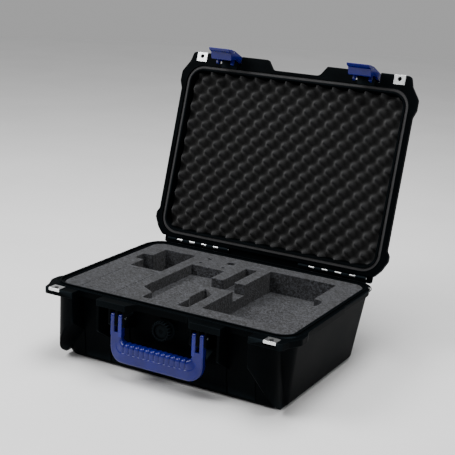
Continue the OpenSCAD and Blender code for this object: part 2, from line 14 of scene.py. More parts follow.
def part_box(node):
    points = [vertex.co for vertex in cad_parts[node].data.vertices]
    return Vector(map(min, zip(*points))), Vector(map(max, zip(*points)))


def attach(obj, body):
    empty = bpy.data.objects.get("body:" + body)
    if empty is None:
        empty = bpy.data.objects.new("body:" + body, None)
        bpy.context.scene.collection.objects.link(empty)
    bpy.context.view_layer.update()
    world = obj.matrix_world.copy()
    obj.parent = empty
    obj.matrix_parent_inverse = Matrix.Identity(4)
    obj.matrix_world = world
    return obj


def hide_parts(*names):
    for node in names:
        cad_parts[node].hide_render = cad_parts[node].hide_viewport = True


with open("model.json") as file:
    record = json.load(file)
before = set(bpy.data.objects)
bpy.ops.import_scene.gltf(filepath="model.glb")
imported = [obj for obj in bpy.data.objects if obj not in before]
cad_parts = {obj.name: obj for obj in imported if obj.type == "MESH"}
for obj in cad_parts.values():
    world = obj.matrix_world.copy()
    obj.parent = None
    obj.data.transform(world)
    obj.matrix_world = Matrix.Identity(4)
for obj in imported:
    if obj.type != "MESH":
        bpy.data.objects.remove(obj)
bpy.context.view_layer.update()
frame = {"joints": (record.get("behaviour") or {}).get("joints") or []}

MM = 0.001


def box_mm(node):
    """Lowest and highest corner of a CAD node, in millimetres."""
    low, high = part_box(node)
    return low / MM, high / MM


def joint(name):
    return next(j for j in frame["joints"] if j["name"] == name)


# ---- places from the frame ----
SHELL_LOW, SHELL_HIGH = box_mm("base_shell")
LID_SHELL_HIGH = box_mm("lid_shell")[1]
FOAM_LOW, FOAM_HIGH = box_mm("base_foam")
BOTTOM_LOW, BOTTOM_HIGH = box_mm("base_foam_bottom")
PLUG_LOW, PLUG_HIGH = box_mm("foam_plug")
HANDLE_LOW, HANDLE_HIGH = box_mm("handle")
HANDLE_PIN_LOW, HANDLE_PIN_HIGH = box_mm("handle_pin_right")
KNOB_LOW, KNOB_HIGH = box_mm("valve_knob")
HINGE_PIN_LOW, HINGE_PIN_HIGH = box_mm("hinge_pin_right")
PLATE_LOW, PLATE_HIGH = box_mm("padlock_plate_base_right")
LATCH_PIN_LOW, LATCH_PIN_HIGH = box_mm("latch_pin_right")
NUT_LOW, NUT_HIGH = box_mm("valve_nut")
HINGE = Vector(joint("lid_hinge")["pos_m"]) / MM
HANDLE_PIVOT = Vector(joint("handle_swing")["pos_m"]) / MM
VALVE = Vector(joint("valve_turn")["pos_m"]) / MM
LID_OPEN = math.radians(joint("lid_hinge")["range_deg"][1])
LATCH_FLARE = -math.radians(joint("latch_right_swing")["range_deg"][0])

# ---- sizes of the shells ----
FOAM_GAP = 0.8
HALF_W = FOAM_HIGH.x + FOAM_GAP
HALF_D = FOAM_HIGH.y + FOAM_GAP
RIM = FOAM_HIGH.z + 1
WALL = 4
FLOOR_T = 4.5
CAVITY_R = 27
RIM_SWELL = 5
SIDE_DRAFT = 12
FRONT_DRAFT = 13
FLOOR_EDGE = 12
FLANGE_LOW = RIM - 14
FLANGE_BACK = 197
FRONT = -SHELL_LOW.y
GUARD_BUMP = 6
BASE_SIDE = SHELL_HIGH.x - GUARD_BUMP
BASE_SIDE_REAR = BASE_SIDE - 5
LID_SIDE = LID_SHELL_HIGH.x - GUARD_BUMP
RIM_STEP = 1
RIM_STEP_IN = 12
RIDGE_OUT = (13.6, 16.4)
RIDGE_W = 1.4
TONGUE_IN = 6
TONGUE_T = 3.5
TONGUE_H = 3
LIP = RIM + 0.4
LID_H = 57
LID_TOP = LIP + LID_H
LID_FLANGE_H = 12
LID_FLANGE_BACK = 196.2
LID_DRAFT = 13
LID_FOOT = (12, 10)
LID_R = 31
LID_CROWN = 8
CENTRE_FRONT = 197
BRACKET_IN = 70
BRACKET_OUT = 134
LATCH_ZONE = 192
PILLAR_X = 190
PILLAR_HALF = 238
PILLAR_FRONT = 216
PILLAR_FOOT = (60, 3)
PILLAR_STEP = (88, 30)
RIB_FRONT = 216
KNUCKLE_R = 4.4
BASE_KNUCKLES = ((85, 109), (152.5, 168.5), (215, 238.5))
LID_KNUCKLES = ((122, 139), (183.5, 200.5))
KNUCKLE_BACK = 202.6
HINGE_PIN_R = 2.4
HANDLE_PIN_R = 3
LATCH_PIN_R = 2.5
HOOK_PIN_R = 2
RUN_CLEAR = 0.06
SKIRT_T = 3.4
SKIRT_BACK = 210.5
SKIRT_HALF = 250
SKIRT_CLEAR = 0.6
PILLAR_BACK = -148
RECESS_HALF = 84
PLATE_T = 1.2
PLATE_HOLE = (232.5, 8.5 - FRONT)
PLATE_HOLE_R = 4.5
LID_STEP = 1
GROOVE_IN = 4
GASKET_TOP = RIM + TONGUE_H + 3.7
VALVE_FACE = 187
VALVE_BORE_R = 9
VALVE_STEM_R = 8.8
KNOB_SCALLOPS = 20

# ---- sizes of the foam ----
PLUG_GAP = 0.4
WAVE_X = 36.7
WAVE_Y = 19.6
WAVE_DEPTH = 19

# ---- sizes of the handle and latches ----
ARM_W = 25
PRONG_W = 8.5
PRONG_R = 6
FORK_DROP = 29.5
ELBOW_IN = 7
ELBOW_OUT = 30
GRIP_H = 40
GRIP_RIBS = 12
GRIP_PITCH = 11.2
GROOVE = 2.2
LEDGE = 0.8
LATCH_X = (LATCH_PIN_LOW.x + LATCH_PIN_HIGH.x) / 2
LATCH_HALF = 25
LATCH_FRONT = 8.5
LATCH_PIVOT = (-208.5, 167)
LUG_R = 4.6
LUG_HALF = 20.5
LUG_BACK = 10.5
HOOK_PIN_Z = 116
HOOK_TOP = 135.4

# Side view of a lever as (inward from the pivot, along the lever, radius)
LEVER_OUTLINE = (
    (-7.8, 4, 12), (-4.8, 50, 12), (3, 78, 1), (7.2, 73, 1), (7, 64.5, 0.8), (20, 54, 3),
    (8, 34, 8), (8, 2, 0), (9, 0, 0), (7.6, -5, 3), (0, -9, 8), (-7.8, -5, 5))
LEVER_HOLLOW = ((-5, -14, 0), (-5, 22, 6), (-1.5, 50, 6), (5, 61.3, 1), (25, 43.7, 0), (25, -14, 0))

# ---- studio and camera ----
WORLD_LIGHT = 0.4
KEY_LIGHT = 70
FILL_LIGHT = 4
TOP_LIGHT = 75
CAMERA_AZIMUTH = 28.6
CAMERA_ELEVATION = 15.26
CAMERA_ROLL = 2.96
CAMERA_LENS = 87.38
CAMERA_DISTANCE = 2038
CAMERA_AIM = (72.6, -96.3, 298.9)

# ---- frames of reference: (u, v, w) of a drawing to (x, y, z) ----
ALONG_Z = Matrix.Identity(4)
ALONG_X = Matrix(((0, 0, 1, 0), (1, 0, 0, 0), (0, 1, 0, 0), (0, 0, 0, 1)))
ALONG_Y = Matrix(((1, 0, 0, 0), (0, 0, 1, 0), (0, 1, 0, 0), (0, 0, 0, 1)))
FORWARD = Matrix(((1, 0, 0, 0), (0, 0, -1, 0), (0, 1, 0, 0), (0, 0, 0, 1)))


def turn_about_x(angle, y, z):
    move = Matrix.Translation((0, y, z))
    return move @ Matrix.Rotation(angle, 4, "X") @ move.inverted()


OPENED = turn_about_x(-LID_OPEN, HINGE.y, HINGE.z)
FLARED = turn_about_x(-LATCH_FLARE, *LATCH_PIVOT)


# ---- outlines ----


def arc(centre, r, start, end, steps):
    """Points along an arc, from a start angle to an end angle in degrees."""
    angles = [math.radians(start + (end - start) * i / steps) for i in range(steps + 1)]
    return [(centre[0] + r * math.cos(a), centre[1] + r * math.sin(a)) for a in angles]


def rounded_rect(half_x, half_y, r, steps=8):
    points = []
    for start, sx, sy in ((0, 1, 1), (90, -1, 1), (180, -1, -1), (270, 1, -1)):
        centre = (sx * (half_x - r), sy * (half_y - r))
        points += arc(centre, r, start, start + 90, steps)
    return points


def rounded(corners, steps=4):
    """Outline through (u, v, radius) corners, each rounded off by its radius."""
    points = []
    for i, (u, v, r) in enumerate(corners):
        here = Vector((u, v))
        if r == 0:
            points.append((u, v))
            continue
        before = Vector(corners[i - 1][:2]) - here
        after = Vector(corners[(i + 1) % len(corners)][:2]) - here
        reach = r / math.tan(before.angle(after) / 2)
        reach = min(reach, 0.48 * before.length, 0.48 * after.length)
        start = here + before.normalized() * reach
        end = here + after.normalized() * reach
        for k in range(steps + 1):
            t = k / steps
            point = start.lerp(here, t).lerp(here.lerp(end, t), t)
            points.append((point.x, point.y))
    return points


def rect(u0, v0, u1, v1, r=0, steps=4):
    corners = [(u0, v0, r), (u1, v0, r), (u1, v1, r), (u0, v1, r)]
    return rounded(corners, steps)


def anticlockwise(outline):
    area = sum(a[0] * b[1] - b[0] * a[1] for a, b in zip(outline, outline[1:] + outline[:1]))
    return list(outline) if area > 0 else list(reversed(outline))


def inset(outline, distance):
    """An anticlockwise outline moved inward by a distance."""
    moved = []
    for i, point in enumerate(outline):
        before, here = Vector(outline[i - 1]), Vector(point)
        after = Vector(outline[(i + 1) % len(outline)])
        a, b = (here - before).normalized(), (after - here).normalized()
        a, b = Vector((-a.y, a.x)), Vector((-b.y, b.x))
        move = (a + b) * (distance / max(0.3, 1 + a.dot(b)))
        moved.append((here.x + move.x, here.y + move.y))
    return moved


# ---- solids ----


def to_object(name, mesh):
    data = bpy.data.meshes.new(name)
    bmesh.ops.recalc_face_normals(mesh, faces=mesh.faces)
    mesh.to_mesh(data)
    mesh.free()
    piece = bpy.data.objects.new(name, data)
    bpy.context.scene.collection.objects.link(piece)
    return piece


def loft(name, rings, place=ALONG_Z, closed=False):
    """Skin over rings of equal count, capped, or joined end to end."""
    mesh = bmesh.new()
    rows = [[mesh.verts.new(place @ Vector(p)) for p in ring] for ring in rings]
    pairs = list(zip(rows, rows[1:]))
    if closed:
        pairs.append((rows[-1], rows[0]))
    else:
        mesh.faces.new(rows[0])
        mesh.faces.new(rows[-1])
    for low, high in pairs:
        for i in range(len(low)):
            j = (i + 1) % len(low)
            mesh.faces.new((low[i], low[j], high[j], high[i]))
    return to_object(name, mesh)


def quarter(steps):
    return [math.pi / 2 * i / steps for i in range(steps + 1)]


def block(name, outline, low, high, edge=1.0, place=ALONG_Z, steps=3):
    """Extruded outline whose two ends are rounded off."""
    outline = anticlockwise(outline)
    levels = [(0, low), (0, high)]
    if edge:
        bottom = [(edge * (1 - math.sin(a)), edge * (1 - math.cos(a))) for a in quarter(steps)]
        levels = [(d, low + h) for d, h in bottom]
        levels += [(d, high - h) for d, h in reversed(bottom)]
    rings = [[(u, v, h) for u, v in inset(outline, d)] for d, h in levels]
    return loft(name, rings, place)


def pocket(outline, low, top, edge, foot=0.6, place=ALONG_Z):
    """Cutter for a pocket with a rounded mouth and a softened foot."""
    outline = anticlockwise(outline)
    levels = [(foot, low), (0, low + foot)]
    levels += [(-edge * (1 - math.cos(a)), top - edge * (1 - math.sin(a))) for a in quarter(4)]
    levels.append((-edge, top + 2))
    rings = [[(u, v, h) for u, v in inset(outline, d)] for d, h in levels]
    return loft("cutter", rings, place)


def turned(name, profile, centre, place=ALONG_Z, count=40):
    """Solid turned about an axis, from (radius, height) points."""
    rings = []
    for r, h in profile:
        angles = [2 * math.pi * i / count for i in range(count)]
        rings.append([(centre[0] + r * math.cos(a), centre[1] + r * math.sin(a), h) for a in angles])
    return loft(name, rings, place)


def rod(name, centre, r, low, high, edge=0.0, place=ALONG_X, count=32):
    profile = [(r, low), (r, high)]
    if edge:
        profile = [(r - edge, low), (r, low + edge), (r, high - edge), (r - edge, high)]
    return turned(name, profile, centre, place, count)


def band(name, half_x, half_y, r, section):
    """Ring whose (outward, height) cross-section runs round a rounded rectangle."""
    rings = []
    for out, height in section:
        ring = rounded_rect(half_x + out, half_y + out, r + out)
        rings.append([(x, y, height) for x, y in ring])
    return loft(name, rings, closed=True)


def with_mirror(piece):
    """The piece joined with its mirror image across the middle plane."""
    mesh = bmesh.new()
    mesh.from_mesh(piece.data)
    twin = bmesh.ops.duplicate(mesh, geom=mesh.verts[:] + mesh.edges[:] + mesh.faces[:])
    verts = [g for g in twin["geom"] if isinstance(g, bmesh.types.BMVert)]
    faces = [g for g in twin["geom"] if isinstance(g, bmesh.types.BMFace)]
    bmesh.ops.scale(mesh, vec=(-1, 1, 1), verts=verts)
    bmesh.ops.reverse_faces(mesh, faces=faces)
    mesh.to_mesh(piece.data)
    mesh.free()
    return piece


def flipped(piece):
    """The piece mirrored across the middle plane."""
    mesh = bmesh.new()
    mesh.from_mesh(piece.data)
    bmesh.ops.scale(mesh, vec=(-1, 1, 1), verts=mesh.verts)
    bmesh.ops.reverse_faces(mesh, faces=mesh.faces)
    mesh.to_mesh(piece.data)
    mesh.free()
    return piece


def on_side(side, piece):
    """The piece as built for the right side (side 1), mirrored for the left (side -1)."""
    return flipped(piece) if side < 0 else piece


def combine(target, operation, *others):
    """Target united with, cut by or limited to the other solids."""
    for other in others:
        modifier = target.modifiers.new(operation, "BOOLEAN")
        modifier.operation = operation
        modifier.solver = "MANIFOLD"
        modifier.object = other
    bpy.context.view_layer.update()
    graph = bpy.context.evaluated_depsgraph_get()
    made = bpy.data.meshes.new_from_object(target.evaluated_get(graph))
    target.modifiers.clear()
    target.data = made
    for other in others:
        bpy.data.objects.remove(other)
    return target


def dress(piece, body, material, nodes, place=None, sharp=38):
    """Final mesh in metres, with its material, body and CAD nodes."""
    scale = Matrix.Diagonal((MM, MM, MM, 1))
    piece.data.transform(scale @ place if place else scale)
    piece.data.materials.clear()
    piece.data.materials.append(material)
    for polygon in piece.data.polygons:
        polygon.use_smooth = True
        polygon.material_index = 0
    piece.data.set_sharp_from_angle(angle=math.radians(sharp))
    weighted = piece.modifiers.new("weighted_normals", "WEIGHTED_NORMAL")
    weighted.keep_sharp = True
    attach(piece, body)
    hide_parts(*nodes)
    return piece


# ---- materials ----


class Shader:
    """Small helper that builds one node material."""

    def __init__(self, name):
        self.material = bpy.data.materials.new(name)
        self.material.use_nodes = True
        self.tree = self.material.node_tree
        self.surface = self.tree.nodes["Principled BSDF"]
        self.place = self.add("ShaderNodeTexCoord").outputs["Object"]

    def add(self, kind, **settings):
        node = self.tree.nodes.new(kind)
        for key, value in settings.items():
            setattr(node, key, value)
        return node

    def link(self, output, socket):
        self.tree.links.new(output, socket)

    def set(self, **values):
        """Constants on the surface's own sockets."""
        for key, value in values.items():
            self.surface.inputs[key.replace("_", " ")].default_value = value

    def noise(self, scale, detail=2.0, roughness=0.5, place=None):
        node = self.add("ShaderNodeTexNoise")
        self.link(place or self.place, node.inputs["Vector"])
        node.inputs["Scale"].default_value = scale
        node.inputs["Detail"].default_value = detail
        node.inputs["Roughness"].default_value = roughness
        return node.outputs["Fac"]

    def cells(self, scale, feature="F1", randomness=1.0):
        node = self.add("ShaderNodeTexVoronoi", feature=feature)
        self.link(self.place, node.inputs["Vector"])
        node.inputs["Scale"].default_value = scale
        node.inputs["Randomness"].default_value = randomness
        return node

    def ramp(self, value, stops):
        """Colour ramp over (position, colour) stops."""
        node = self.add("ShaderNodeValToRGB")
        elements = node.color_ramp.elements
        while len(elements) < len(stops):
            elements.new(0.5)
        for element, (position, colour) in zip(elements, stops):
            element.position = position
            element.color = (*colour, 1)
        self.link(value, node.inputs["Fac"])
        return node.outputs["Color"]

    def span(self, value, low, high, start=0.0, end=1.0):
        """The value's range from start to end mapped to low to high."""
        node = self.add("ShaderNodeMapRange")
        node.inputs["From Min"].default_value = start
        node.inputs["From Max"].default_value = end
        node.inputs["To Min"].default_value = low
        node.inputs["To Max"].default_value = high
        self.link(value, node.inputs["Value"])
        return node.outputs["Result"]

    def mix(self, a, b, factor, blend="MIX"):
        node = self.add("ShaderNodeMix", data_type="RGBA", blend_type=blend)
        for value, index in ((factor, 0), (a, 6), (b, 7)):
            if isinstance(value, bpy.types.NodeSocket):
                self.link(value, node.inputs[index])
            else:
                node.inputs[index].default_value = value if index == 0 else (*value, 1)
        return node.outputs[2]

    def bump(self, height, strength, distance, under=None):
        node = self.add("ShaderNodeBump")
        node.inputs["Strength"].default_value = strength
        node.inputs["Distance"].default_value = distance
        self.link(height, node.inputs["Height"])
        if under:
            self.link(under, node.inputs["Normal"])
        return node.outputs["Normal"]

    def edges(self, start, end):
        """1 along convex edges and 0 on flats."""
        point = self.add("ShaderNodeNewGeometry").outputs["Pointiness"]
        return self.span(point, 0.0, 1.0, start, end)

    def finish(self, colour, roughness, normal=None):
        self.link(colour, self.surface.inputs["Base Color"])
        self.link(roughness, self.surface.inputs["Roughness"])
        if normal:
            self.link(normal, self.surface.inputs["Normal"])
        return self.material


def moulded_shell(name, dark, light):
    """Matt black moulded plastic: fine spark grain, soft patches and a painted highlight along convex
    edges.
    """
    s = Shader(name)
    patches = s.noise(14, 4, 0.6)
    grain = s.noise(1500, 2, 0.6)
    colour = s.ramp(patches, ((0.3, dark), (0.75, light)))
    # Painted highlight: convex edges are mixed towards a colour seven times paler than the light tone.
    edge_highlight = tuple(7 * c for c in light)
    colour = s.mix(colour, edge_highlight, s.edges(0.53, 0.62))
    rough = s.span(patches, 0.34, 0.5)
    wave = s.bump(s.noise(22, 2), 0.15, 0.0006)
    normal = s.bump(grain, 0.25, 0.00025, wave)
    s.set(Specular_IOR_Level=0.012)
    return s.finish(colour, rough, normal)


def blue_plastic():
    """Bright blue glossy nylon with faint flow marks, fine scuffs and a painted highlight along convex
    edges.
    """
    s = Shader("blue_nylon")
    flow = s.noise(30, 3, 0.6)
    colour = s.ramp(flow, ((0.25, (0.0003, 0.0012, 0.085)), (0.8, (0.0005, 0.0022, 0.13))))
    # Painted highlight: convex edges are mixed towards a brighter blue.
    colour = s.mix(colour, (0.004, 0.012, 0.3), s.edges(0.53, 0.66))
    rough = s.span(s.noise(90, 4, 0.7), 0.24, 0.36)
    normal = s.bump(s.noise(900, 2), 0.12, 0.0002)
    s.set(Specular_IOR_Level=0.3, Coat_Weight=0.05, Coat_Roughness=0.2)
    return s.finish(colour, rough, normal)


def cell_foam(name, dark, light, cell, tint, hollow=None):
    """Foam cut open: every cell has its own shade and its own little pit.

    A hollow (direction, start, end) paints shade along a direction, in metres: darker the further a
    point lies down it, towards the hollows.
    """
    s = Shader(name)
    big = s.cells(1 / cell)
    small = s.cells(2.3 / cell)
    shade = s.add("ShaderNodeSeparateColor")
    s.link(big.outputs["Color"], shade.inputs["Color"])
    fine = s.add("ShaderNodeSeparateColor")
    s.link(small.outputs["Color"], fine.inputs["Color"])
    speck = s.mix(shade.outputs["Red"], fine.outputs["Green"], 0.45)
    middle = tuple(0.4 * (a + b) for a, b in zip(dark, light))
    colour = s.ramp(speck, ((0.22, dark), (0.5, middle), (0.8, light)))
    colour = s.mix(colour, tint, s.span(s.noise(9, 3), 0.0, 0.35, 0.35, 0.75))
    if hollow:
        # Painted shade: the colour darkens the deeper a point lies in the wave's hollows.
        direction, start, end = hollow
        project = s.add("ShaderNodeVectorMath", operation="DOT_PRODUCT")
        s.link(s.place, project.inputs[0])
        project.inputs[1].default_value = direction
        depth = s.span(project.outputs["Value"], 0.0, 1.0, start, end)
        shadow = tuple(0.16 * c for c in dark)
        colour = s.mix(colour, shadow, depth)
    pits = s.bump(big.outputs["Distance"], 0.7, 0.0008)
    normal = s.bump(small.outputs["Distance"], 0.6, 0.0005, pits)
    rough = s.span(speck, 0.85, 1.0)
    s.set(Specular_IOR_Level=0.15, Sheen_Weight=0.12, Sheen_Roughness=0.6)
    return s.finish(colour, rough, normal)


def soft_rubber():
    s = Shader("soft_rubber")
    colour = s.ramp(s.noise(60, 3), ((0.3, (0.008, 0.008, 0.009)), (0.8, (0.02, 0.02, 0.022))))
    rough = s.span(s.noise(400, 2), 0.55, 0.75)
    normal = s.bump(s.noise(1200, 1), 0.2, 0.0002)
    return s.finish(colour, rough, normal)


def stainless(name, stretch):
    """Stainless steel with fine rolling lines across the stretched direction."""
    s = Shader(name)
    mapping = s.add("ShaderNodeMapping")
    mapping.inputs["Scale"].default_value = stretch
    s.link(s.place, mapping.inputs["Vector"])
    lines = s.noise(1.0, 3, 0.7, mapping.outputs["Vector"])
    smudge = s.noise(120, 3)
    colour = s.ramp(lines, ((0.3, (0.62, 0.63, 0.64)), (0.7, (0.86, 0.87, 0.88))))
    rough = s.span(smudge, 0.2, 0.38)
    s.set(Metallic=1.0)
    return s.finish(colour, rough, s.bump(lines, 0.15, 0.0001))


def floor_paint():
    s = Shader("studio_floor")
    colour = s.ramp(s.noise(3, 3), ((0.3, (0.86, 0.86, 0.86)), (0.7, (0.9, 0.9, 0.9))))
    return s.finish(colour, s.span(s.noise(8, 2), 0.7, 0.85))


LID_UP = OPENED.to_3x3() @ Vector((0, 0, 1))
WAVE_TIP = LID_UP.dot(OPENED @ Vector((0, 0, LIP + 0.6))) * MM
SHELL = moulded_shell("shell_plastic", (0.0008, 0.0012, 0.0015), (0.0018, 0.0027, 0.0033))
BLUE = blue_plastic()
GREY_FOAM = cell_foam("cut_foam", (0.001, 0.0011, 0.0013), (0.048, 0.05, 0.058), 0.0036,
                      (0.006, 0.0065, 0.008))
# The wave foam gets painted shade in its hollows, from just below the wave's tips down to 0.8 of its
# depth.
DARK_FOAM = cell_foam("wave_foam", (0.002, 0.0022, 0.0025), (0.013, 0.0135, 0.015), 0.0018,
                      (0.0045, 0.0047, 0.0053),
                      (LID_UP, WAVE_TIP + 0.003, WAVE_TIP + 0.8 * WAVE_DEPTH * MM))
RUBBER = soft_rubber()
STEEL = stainless("rolled_steel", (1500, 60, 60))
PIN_STEEL = stainless("turned_steel", (900, 90, 90))


# ---- base shell ----


def wall_reach(z):
    """Half width and half depth of the base's outside at a height."""
    lean = min(1, max(0, (FLANGE_LOW - z) / (FLANGE_LOW - FLOOR_EDGE)))
    return HALF_W + WALL - SIDE_DRAFT * lean, HALF_D + WALL - FRONT_DRAFT * lean


def tub_ring(z, depth, edge=0, swell=0):
    """The walls at a height, moved in by a depth and an edge, out by a swell."""
    half_x, half_y = wall_reach(z)
    lean = min(1, max(0, (FLANGE_LOW - z) / (FLANGE_LOW - FLOOR_EDGE)))
    move = depth + edge
    r = max(12, CAVITY_R + WALL - move)
    outline = rounded_rect(half_x - move + swell * (1 - lean), half_y - move, r)
    return [(x, y, z) for x, y in outline]


def tub(name, depth, low, high, edge, mouth=0, swell=0):
    """The walls, moved in, with a rounded bottom and mouth edge."""
    rings = [tub_ring(low, depth, 0, swell)]
    if edge:
        rings = [tub_ring(low + edge * (1 - math.cos(a)), depth, edge * (1 - math.sin(a)), swell)
                 for a in quarter(6)]
    if high > FLANGE_LOW:
        rings.append(tub_ring(FLANGE_LOW, depth, 0, swell))
    if mouth:
        rings += [tub_ring(high - mouth * (1 - math.sin(a)), depth, mouth * (1 - math.cos(a)))
                  for a in quarter(3)]
    else:
        rings.append(tub_ring(high, depth, 0, swell))
    return loft(name, rings)


def rim_outline(side, rear):
    """Plan of a rim: centre band, brackets, ears, front guards and a rear part."""
    guard = side + GUARD_BUMP
    right = [
        (BRACKET_IN - 15, -CENTRE_FRONT, 14), (BRACKET_IN, -FRONT, 5),
        (BRACKET_OUT, -FRONT, 2), (BRACKET_OUT, -LATCH_ZONE, 2),
        (PILLAR_X, -LATCH_ZONE, 2), (PILLAR_X, -FRONT, 2),
        (HALF_W + 5, -FRONT, 8), (HALF_W + 11, -CENTRE_FRONT, 10),
        (guard, -172, 14), (guard, -150, 10), (side, -134, 10),
    ] + rear
    left = [(-x, y, r) for x, y, r in reversed(right)]
    return rounded(right + left)


def base_rim_outline():
    rear = [(BASE_SIDE, 28, 5), (BASE_SIDE_REAR, 40, 5),
            (BASE_SIDE_REAR, FLANGE_BACK - 30, 40), (HALF_W - 15, FLANGE_BACK, 30)]
    return rim_outline(BASE_SIDE, rear)


def lid_rim_outline():
    guard = LID_SIDE + GUARD_BUMP
    rear = [(LID_SIDE, 139, 5), (guard, 148, 8), (guard, 160, 8),
            (guard - 11, HALF_D + 3, 14), (guard - 25, LID_FLANGE_BACK, 10)]
    return rim_outline(LID_SIDE, rear)


def plate_cutters(low):
    """Room for a folded padlock plate whose lower leaf starts at a height."""
    x0, x1 = PLATE_LOW.x - 0.2, PLATE_HIGH.x + 0.2
    y0, y1 = PLATE_LOW.y, PLATE_HIGH.y + 0.2
    high = low + PLATE_HIGH.z - PLATE_LOW.z
    rooms = ((y1, low - 3, low + PLATE_T), (y1, high - PLATE_T, high + 3),
             (y0 + PLATE_T, low - 3, high + 3))
    cutters = [block("cutter", rect(x0, y0 - 2, x1, y, 0), bottom, top, 0)
               for y, bottom, top in rooms]
    cutters.append(rod("cutter", PLATE_HOLE, PLATE_HOLE_R, low - 3, high + 3, place=ALONG_Z))
    return [with_mirror(cutter) for cutter in cutters]


def pillar_profile(foot, step, bend):
    return rounded([
        (PILLAR_BACK, foot, 0), (1 - wall_reach(foot)[1], foot, 6), (-PILLAR_FRONT, step, bend),
        (-PILLAR_FRONT, FLANGE_LOW + 2, 0), (PILLAR_BACK, FLANGE_LOW + 2, 0)])


def pillars():
    """Corner pillars that guard the latches, with a foot that drops outwards."""
    inside = anticlockwise(pillar_profile(PILLAR_FOOT[0], PILLAR_STEP[0], 12))
    outside = anticlockwise(pillar_profile(PILLAR_FOOT[1], PILLAR_STEP[1], 44))
    edge = 1.6
    rings = [[(u, v, PILLAR_X) for u, v in inset(inside, edge)],
             [(u, v, PILLAR_X + 0.3 * edge) for u, v in inset(inside, 0.3 * edge)],
             [(u, v, PILLAR_X + edge) for u, v in inside],
             [(u, v, PILLAR_HALF + 1) for u, v in outside]]
    pillar = with_mirror(loft("pillars", rings, ALONG_X))
    plan = rounded_rect(PILLAR_HALF, PILLAR_FRONT, 38, 12)
    room = loft("room", [[(x, y, z) for x, y in plan] for z in (0, RIM)])
    return combine(pillar, "INTERSECT", room)


def front_rib(x0, x1, foot):
    """Upright rib on the front wall, with a sloping foot."""
    back = 6 - HALF_D
    profile = rounded([
        (back, foot[0], 0), (1 - wall_reach(foot[0])[1], foot[0], 3),
        (-RIB_FRONT, foot[1], 5), (-RIB_FRONT, FLANGE_LOW + 2, 0),
        (back, FLANGE_LOW + 2, 0)])
    return with_mirror(block("rib", profile, x0, x1, 0.9, ALONG_X))


def front_ribs():
    """Ribs at the bracket's outer edge and on both sides of each handle prong."""
    out = HANDLE_HIGH.x
    inner = out - ARM_W
    middle = out - ARM_W / 2
    low_foot = (94, 104)
    return [
        front_rib(BRACKET_OUT - 6, BRACKET_OUT - 0.5, (58, 85)),
        front_rib(out + 1, out + 5.5, low_foot),
        front_rib(inner - 5.5, inner - 1, low_foot),
        front_rib(middle - 3.2, middle + 3.2, low_foot),
    ]


def arches():
    """Curved webs between the centre band and the brackets."""
    r = 18
    x1 = HANDLE_HIGH.x - ARM_W - 5
    back = -CENTRE_FRONT + 8
    plan = [(x1 - r, back), (x1 - r, -CENTRE_FRONT + 0.4), (BRACKET_IN - 14, -CENTRE_FRONT + 0.4),
            (x1, -FRONT + 1.4), (x1, back)]
    web = block("web", plan, FLANGE_LOW - r, FLANGE_LOW + 2, 0)
    hollow = turned("hollow", [(r, -FRONT - 2), (r, 0)], (x1 - r, FLANGE_LOW - r), ALONG_Y, 64)
    return with_mirror(combine(web, "DIFFERENCE", hollow))


def base_knuckles():
    blocks = []
    profile = rounded([
        (HALF_D, FLANGE_LOW - 18, 0), (HALF_D + 6, FLANGE_LOW - 14, 6),
        (KNUCKLE_BACK, FLANGE_LOW + 4, 6), (KNUCKLE_BACK, HINGE.z - 3, 0),
        (HINGE.y, HINGE.z, 0), (HINGE.y - KNUCKLE_R, HINGE.z, 0),
        (HINGE.y - KNUCKLE_R, RIM - 1, 0), (HALF_D, RIM - 1, 0)])
    for x0, x1 in BASE_KNUCKLES:
        blocks.append(with_mirror(block("block", profile, x0, x1, 0.7, ALONG_X)))
        knuckle = rod("knuckle", HINGE.yz, KNUCKLE_R, x0, x1, 0.7)
        blocks.append(with_mirror(knuckle))
    return blocks


def front_groove(x):
    """Upright groove of the lower front wall."""
    half, depth, top = 2, 2, 60
    profile = [(-FRONT, -2), (depth - wall_reach(0)[1], -2), (depth - wall_reach(top)[1], top),
               (-FRONT, top)]
    return with_mirror(block("cutter", profile, x - half, x + half, 0, ALONG_X))


def back_ribs():
    """Low upright ribs that stiffen the back wall."""
    ribs = []
    back = wall_reach(30)[1]
    for x in (28, 62):
        profile = rounded([(back - 4, 26, 0), (back, 26, 2), (back + 9, 40, 5),
                           (back + 9, FLANGE_LOW + 2, 0), (back - 4, FLANGE_LOW + 2, 0)])
        ribs.append(with_mirror(block("rib", profile, x - 2.5, x + 2.5, 0.9, ALONG_X)))
    return ribs


def recess_panel():
    """Shallow panel cut into the wall behind the handle."""
    lean = math.atan(FRONT_DRAFT / (FLANGE_LOW - FLOOR_EDGE))
    face = HALF_D + WALL
    place = turn_about_x(lean, -face, FLANGE_LOW) @ FORWARD
    outline = rect(-RECESS_HALF, 58, RECESS_HALF, FLANGE_LOW + 6, 12, 8)
    return pocket(outline, face - 1.8, face, 1.5, 0.4, place)


def base_cavity():
    edge, flare = FLOOR_EDGE - 2, 1.0
    rings = [tub_ring(FLOOR_T + edge * (1 - math.cos(a)), WALL, edge * (1 - math.sin(a)))
             for a in quarter(6)]
    rings.append(tub_ring(FLANGE_LOW, WALL))
    rings += [tub_ring(RIM - flare * (1 - math.sin(a)), WALL, -flare * (1 - math.cos(a)))
              for a in quarter(3)]
    rings.append(tub_ring(RIM + TONGUE_H + 2, WALL, -flare))
    return loft("cutter", rings)


def rim_ridges():
    """Two fine beads that run round the outer part of the rim's top."""
    ridges = []
    low, high = RIM - 2, RIM - 0.2
    section = rounded([(0, low, 0), (RIDGE_W, low, 0), (RIDGE_W, high, 0.6), (0, high, 0.6)], 2)
    for out in RIDGE_OUT:
        ridges.append(band("ridge", HALF_W + out, HALF_D + out, CAVITY_R + out, section))
    return ridges


